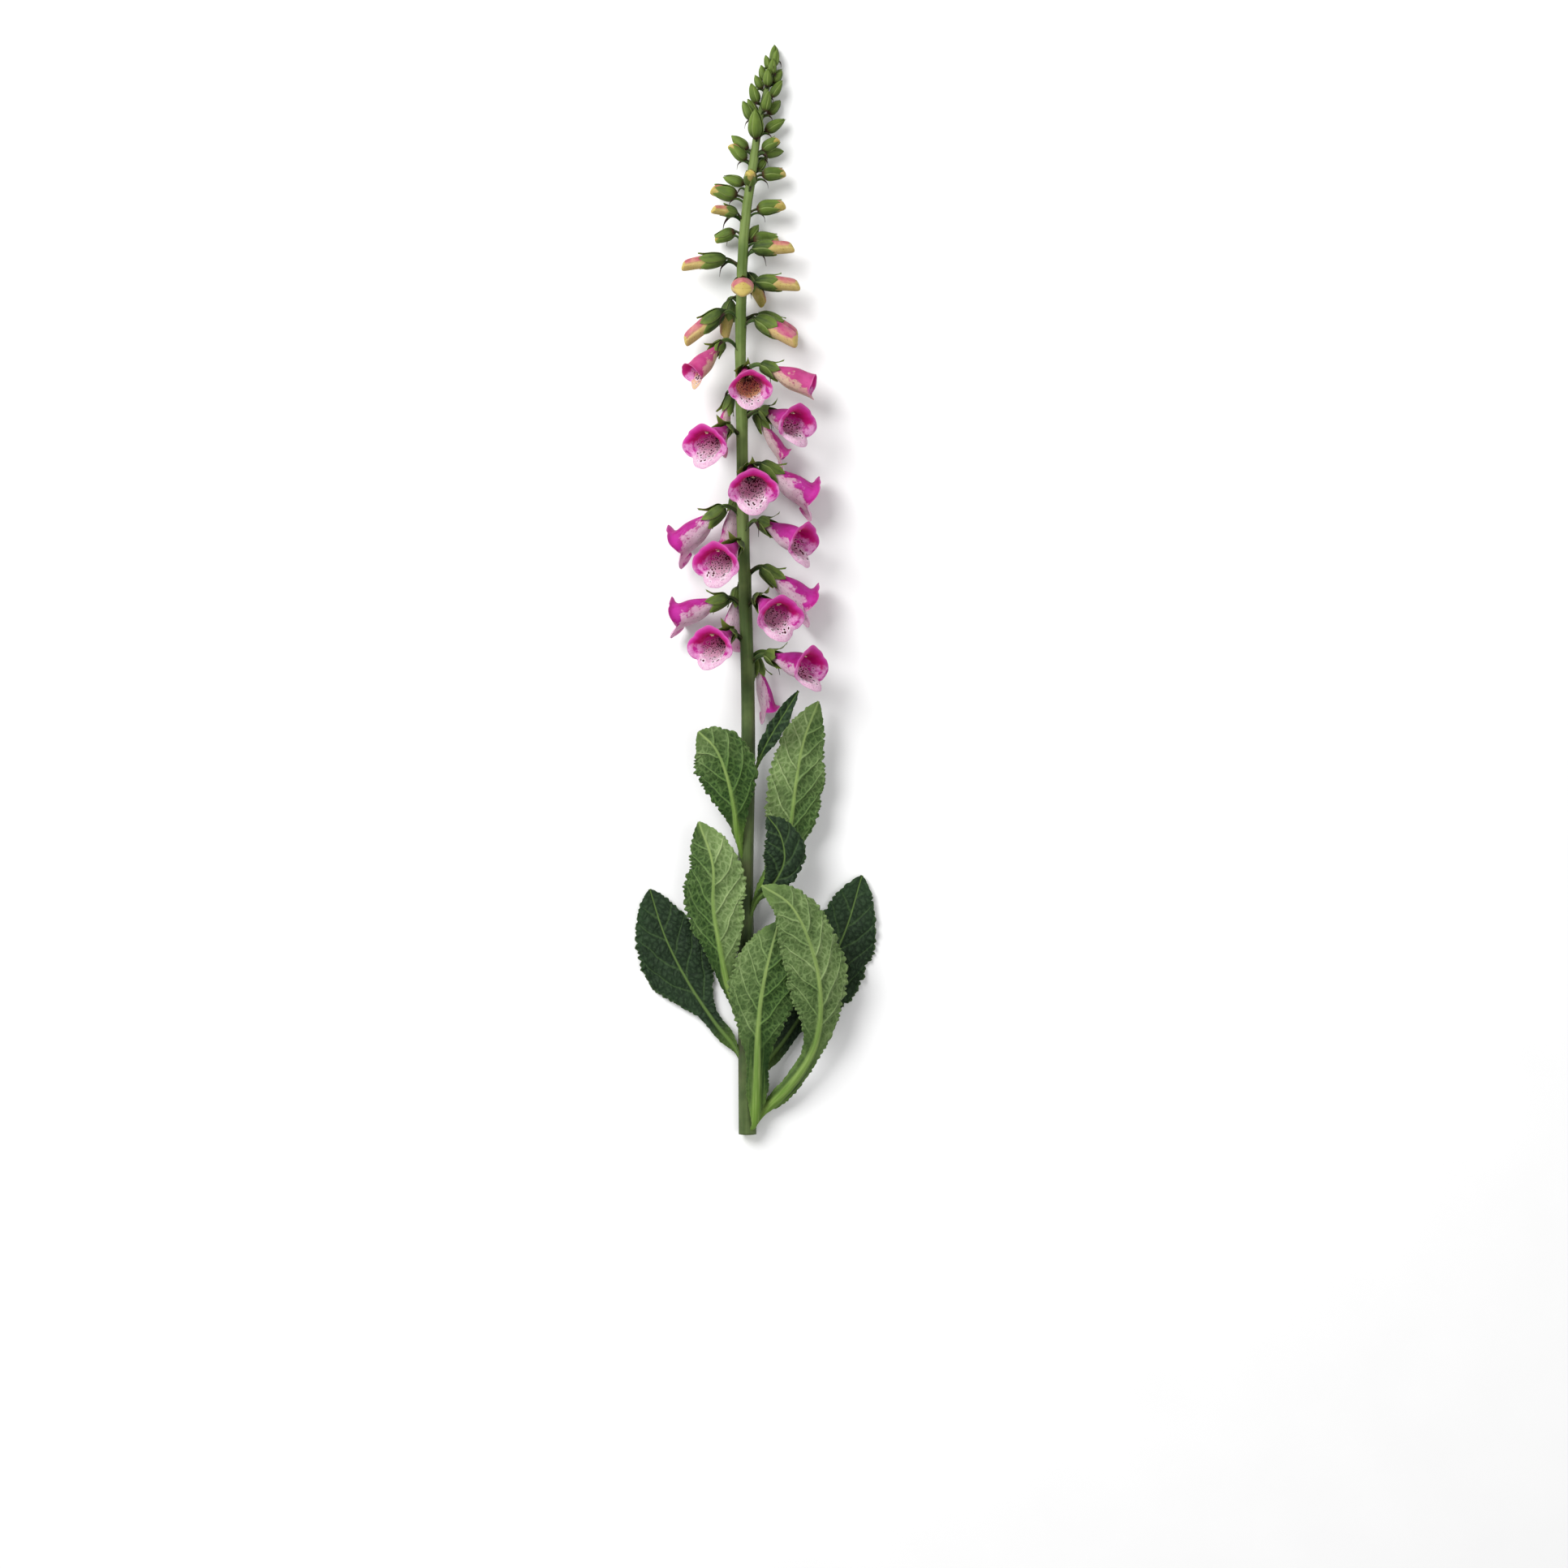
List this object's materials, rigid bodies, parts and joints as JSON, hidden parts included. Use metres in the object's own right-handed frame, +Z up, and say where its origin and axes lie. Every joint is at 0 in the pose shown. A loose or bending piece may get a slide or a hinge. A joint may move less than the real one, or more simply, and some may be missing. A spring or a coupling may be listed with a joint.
{
  "type": "cut foxglove flower stem",
  "caption": "Cut foxglove stem lying on a table: spotted magenta bells, pink and green buds up to the tip, and toothed leaves on the lower stem.",
  "frame": {"origin": "middle of the object's box, at the height of the table it lies on", "axes": "+Y along the stem from the cut end to the tip, +Z up from the table, +X to the right seen from above with the tip up"},
  "size_m": [0.172, 0.7842, 0.0799],
  "materials": {
    "stem_green": "fresh green stem, faintly ribbed and downy, darker towards the cut end",
    "calyx_green": "soft green sepals with paler edges",
    "petal_magenta": "velvety magenta petal, pale and speckled below, spotted dark maroon inside",
    "bud_pink": "closed bud, rose above and cream yellow below",
    "leaf_upper": "dark green, puckered between sunken veins",
    "leaf_underside": "grey-green underside with raised pale veins"
  },
  "bodies": {
    "root": {"bell_01": "petal_magenta", "bell_02": "petal_magenta", "bell_03": "petal_magenta", "bell_04": "petal_magenta", "bell_05": "petal_magenta", "bell_06": "petal_magenta", "bell_07": "petal_magenta", "bell_08": "petal_magenta", "bell_09": "petal_magenta", "bell_10": "petal_magenta", "bell_11": "petal_magenta", "bell_12": "petal_magenta", "bell_13": "petal_magenta", "bell_14": "petal_magenta", "bell_15": "petal_magenta", "bell_16": "petal_magenta", "bell_17": "petal_magenta", "bell_18": "petal_magenta", "bell_19": "petal_magenta", "bell_20": "petal_magenta", "bud_01": "bud_pink", "bud_02": "bud_pink", "bud_03": "bud_pink", "bud_04": "bud_pink", "bud_05": "bud_pink", "bud_06": "bud_pink", "bud_07": "bud_pink", "bud_08": "bud_pink", "bud_09": "bud_pink", "bud_10": "bud_pink", "calyx_01": "calyx_green", "calyx_02": "calyx_green", "calyx_03": "calyx_green", "calyx_04": "calyx_green", "calyx_05": "calyx_green", "calyx_06": "calyx_green", "calyx_07": "calyx_green", "calyx_08": "calyx_green", "calyx_09": "calyx_green", "calyx_10": "calyx_green", "calyx_11": "calyx_green", "calyx_12": "calyx_green", "calyx_13": "calyx_green", "calyx_14": "calyx_green", "calyx_15": "calyx_green", "calyx_16": "calyx_green", "calyx_17": "calyx_green", "calyx_18": "calyx_green", "calyx_19": "calyx_green", "calyx_20": "calyx_green", "leaf_bract": "leaf_upper", "leaf_flat_left": "leaf_upper", "leaf_flat_right": "leaf_upper", "leaf_front_centre": "leaf_underside", "leaf_front_left": "leaf_underside", "leaf_front_right": "leaf_underside", "leaf_left": "leaf_underside", "leaf_right": "leaf_underside", "leaf_right_fold": "leaf_upper", "stem": "stem_green"}
  },
  "joints": []
}
